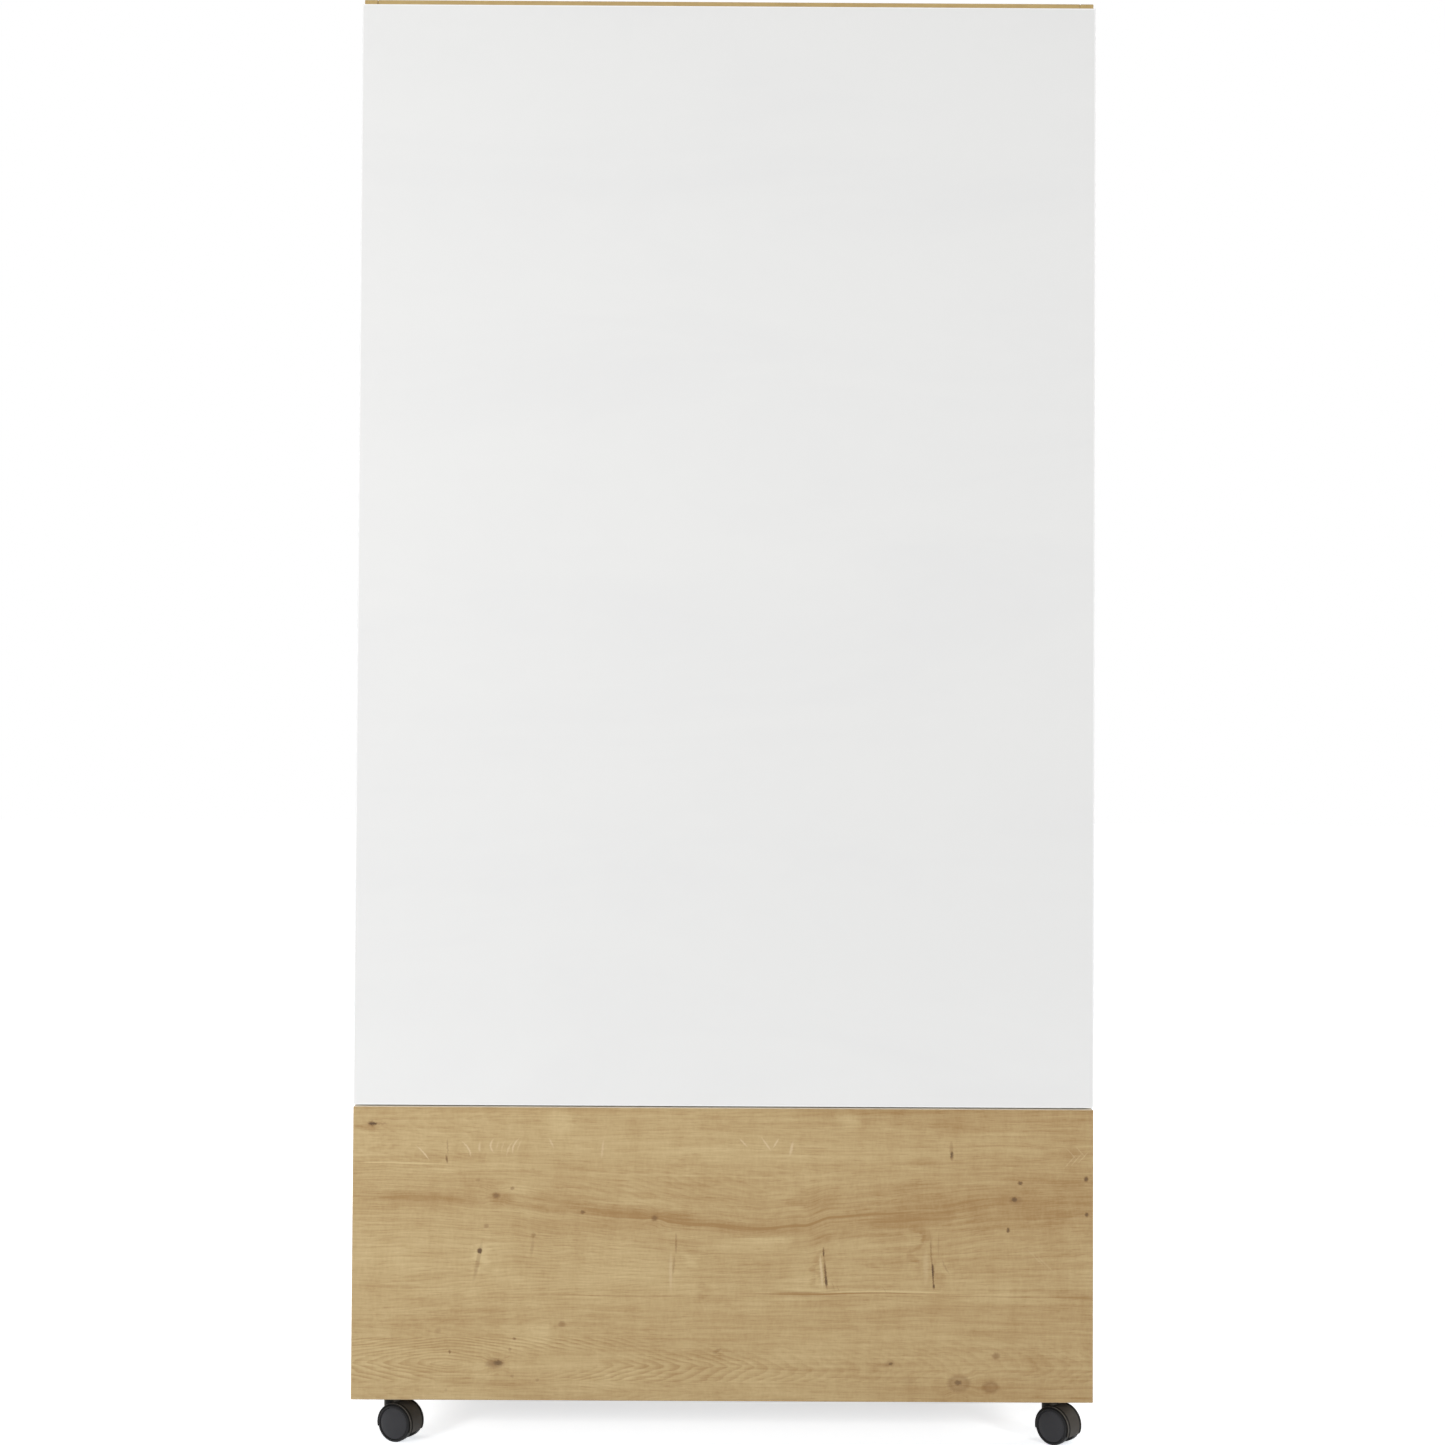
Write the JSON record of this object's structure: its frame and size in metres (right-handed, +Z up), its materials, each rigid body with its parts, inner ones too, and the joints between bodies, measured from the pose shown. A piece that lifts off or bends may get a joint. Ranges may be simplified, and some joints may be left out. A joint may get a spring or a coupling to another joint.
{
  "type": "mobile whiteboard",
  "caption": "Mobile whiteboard: an oak-faced bookcase on swivelling twin-wheel castors, its front covered by a frameless writing board over an oak panel.",
  "frame": {"origin": "on the floor, under the middle of the unit's box", "axes": "+Z up, -Y out of the whiteboard's face towards the writer, +X to the right of a person facing the whiteboard, in metres"},
  "size_m": [1, 0.4, 1.9675],
  "materials": {
    "oak_laminate": "satin light-oak laminate on particle board, grain along the length of each board",
    "oak_shelf_laminate": "satin light-oak laminate, grain along the shelf",
    "white_melamine": "matt white melamine-faced board",
    "white_enamelled_steel": "glossy white enamel for dry-wipe pens",
    "black_nylon": "moulded black nylon, satin",
    "wheel_nylon": "moulded dark nylon tread, satin",
    "grey_nylon": "moulded dark grey nylon, satin",
    "black_zinc_plate": "black zinc-plated pressed steel",
    "bright_steel": "bright turned steel"
  },
  "bodies": {
    "carcass": {"adjustable_shelf_lower": "oak_shelf_laminate", "adjustable_shelf_middle": "oak_shelf_laminate", "adjustable_shelf_upper": "oak_shelf_laminate", "base_board": "oak_laminate", "castor_plate_front_left": "black_zinc_plate", "castor_plate_front_right": "black_zinc_plate", "castor_plate_rear_left": "black_zinc_plate", "castor_plate_rear_right": "black_zinc_plate", "fixed_shelf": "oak_laminate", "kingpin_front_left": "bright_steel", "kingpin_front_right": "bright_steel", "kingpin_rear_left": "bright_steel", "kingpin_rear_right": "bright_steel", "lower_front_panel": "oak_laminate", "shelf_stud_lower_left_front": "bright_steel", "shelf_stud_lower_left_rear": "bright_steel", "shelf_stud_lower_right_front": "bright_steel", "shelf_stud_lower_right_rear": "bright_steel", "shelf_stud_middle_left_front": "bright_steel", "shelf_stud_middle_left_rear": "bright_steel", "shelf_stud_middle_right_front": "bright_steel", "shelf_stud_middle_right_rear": "bright_steel", "shelf_stud_upper_left_front": "bright_steel", "shelf_stud_upper_left_rear": "bright_steel", "shelf_stud_upper_right_front": "bright_steel", "shelf_stud_upper_right_rear": "bright_steel", "side_panel_left": "oak_laminate", "side_panel_right": "oak_laminate", "top_board": "oak_laminate", "whiteboard_core": "white_melamine", "writing_surface": "white_enamelled_steel"},
    "castor_front_left": {"castor_hood_front_left": "black_nylon", "axle_front_left": "bright_steel"},
    "twin_wheel_front_left_near": {"wheel_front_left_near": "wheel_nylon", "wheel_cap_front_left_near": "grey_nylon"},
    "twin_wheel_front_left_far": {"wheel_front_left_far": "wheel_nylon", "wheel_cap_front_left_far": "grey_nylon"},
    "castor_front_right": {"castor_hood_front_right": "black_nylon", "axle_front_right": "bright_steel"},
    "twin_wheel_front_right_near": {"wheel_front_right_near": "wheel_nylon", "wheel_cap_front_right_near": "grey_nylon"},
    "twin_wheel_front_right_far": {"wheel_front_right_far": "wheel_nylon", "wheel_cap_front_right_far": "grey_nylon"},
    "castor_rear_left": {"castor_hood_rear_left": "black_nylon", "axle_rear_left": "bright_steel"},
    "twin_wheel_rear_left_near": {"wheel_rear_left_near": "wheel_nylon", "wheel_cap_rear_left_near": "grey_nylon"},
    "twin_wheel_rear_left_far": {"wheel_rear_left_far": "wheel_nylon", "wheel_cap_rear_left_far": "grey_nylon"},
    "brake_rear_left": {"brake_pedal_rear_left": "black_nylon"},
    "castor_rear_right": {"castor_hood_rear_right": "black_nylon", "axle_rear_right": "bright_steel"},
    "twin_wheel_rear_right_near": {"wheel_rear_right_near": "wheel_nylon", "wheel_cap_rear_right_near": "grey_nylon"},
    "twin_wheel_rear_right_far": {"wheel_rear_right_far": "wheel_nylon", "wheel_cap_rear_right_far": "grey_nylon"},
    "brake_rear_right": {"brake_pedal_rear_right": "black_nylon"}
  },
  "joints": [
    {"name": "swivel_front_left", "type": "hinge", "parent": "carcass", "child": "castor_front_left", "pos_m": [-0.449, -0.155, 0], "axis": [0, 0, 1], "continuous": true},
    {"name": "roll_front_left_near", "type": "hinge", "parent": "castor_front_left", "child": "twin_wheel_front_left_near", "pos_m": [-0.44063, -0.16663, 0.02479], "axis": [0.4226, 0.9063, 0], "continuous": true},
    {"name": "roll_front_left_far", "type": "hinge", "parent": "castor_front_left", "child": "twin_wheel_front_left_far", "pos_m": [-0.43471, -0.15394, 0.02479], "axis": [0.4226, 0.9063, 0], "continuous": true},
    {"name": "swivel_front_right", "type": "hinge", "parent": "carcass", "child": "castor_front_right", "pos_m": [0.449, -0.155, 0], "axis": [0, 0, 1], "continuous": true},
    {"name": "roll_front_right_near", "type": "hinge", "parent": "castor_front_right", "child": "twin_wheel_front_right_near", "pos_m": [0.45384, -0.16848, 0.02479], "axis": [0.6561, 0.7547, 0], "continuous": true},
    {"name": "roll_front_right_far", "type": "hinge", "parent": "castor_front_right", "child": "twin_wheel_front_right_far", "pos_m": [0.46303, -0.15792, 0.02479], "axis": [0.6561, 0.7547, 0], "continuous": true},
    {"name": "swivel_rear_left", "type": "hinge", "parent": "carcass", "child": "castor_rear_left", "pos_m": [-0.449, 0.155, 0], "axis": [0, 0, 1], "continuous": true},
    {"name": "roll_rear_left_near", "type": "hinge", "parent": "castor_rear_left", "child": "twin_wheel_rear_left_near", "pos_m": [-0.44063, 0.14337, 0.02479], "axis": [0.4226, 0.9063, 0], "continuous": true},
    {"name": "roll_rear_left_far", "type": "hinge", "parent": "castor_rear_left", "child": "twin_wheel_rear_left_far", "pos_m": [-0.43471, 0.15606, 0.02479], "axis": [0.4226, 0.9063, 0], "continuous": true},
    {"name": "press_brake_rear_left", "type": "hinge", "parent": "castor_rear_left", "child": "brake_rear_left", "pos_m": [-0.42245, 0.14262, 0.03654], "axis": [0.4226, 0.9063, 0], "range_deg": [0, 12]},
    {"name": "swivel_rear_right", "type": "hinge", "parent": "carcass", "child": "castor_rear_right", "pos_m": [0.449, 0.155, 0], "axis": [0, 0, 1], "continuous": true},
    {"name": "roll_rear_right_near", "type": "hinge", "parent": "castor_rear_right", "child": "twin_wheel_rear_right_near", "pos_m": [0.45384, 0.14152, 0.02479], "axis": [0.6561, 0.7547, 0], "continuous": true},
    {"name": "roll_rear_right_far", "type": "hinge", "parent": "castor_rear_right", "child": "twin_wheel_rear_right_far", "pos_m": [0.46303, 0.15208, 0.02479], "axis": [0.6561, 0.7547, 0], "continuous": true},
    {"name": "press_brake_rear_right", "type": "hinge", "parent": "castor_rear_right", "child": "brake_rear_right", "pos_m": [0.47111, 0.13578, 0.03654], "axis": [0.6561, 0.7547, 0], "range_deg": [0, 12]}
  ]
}
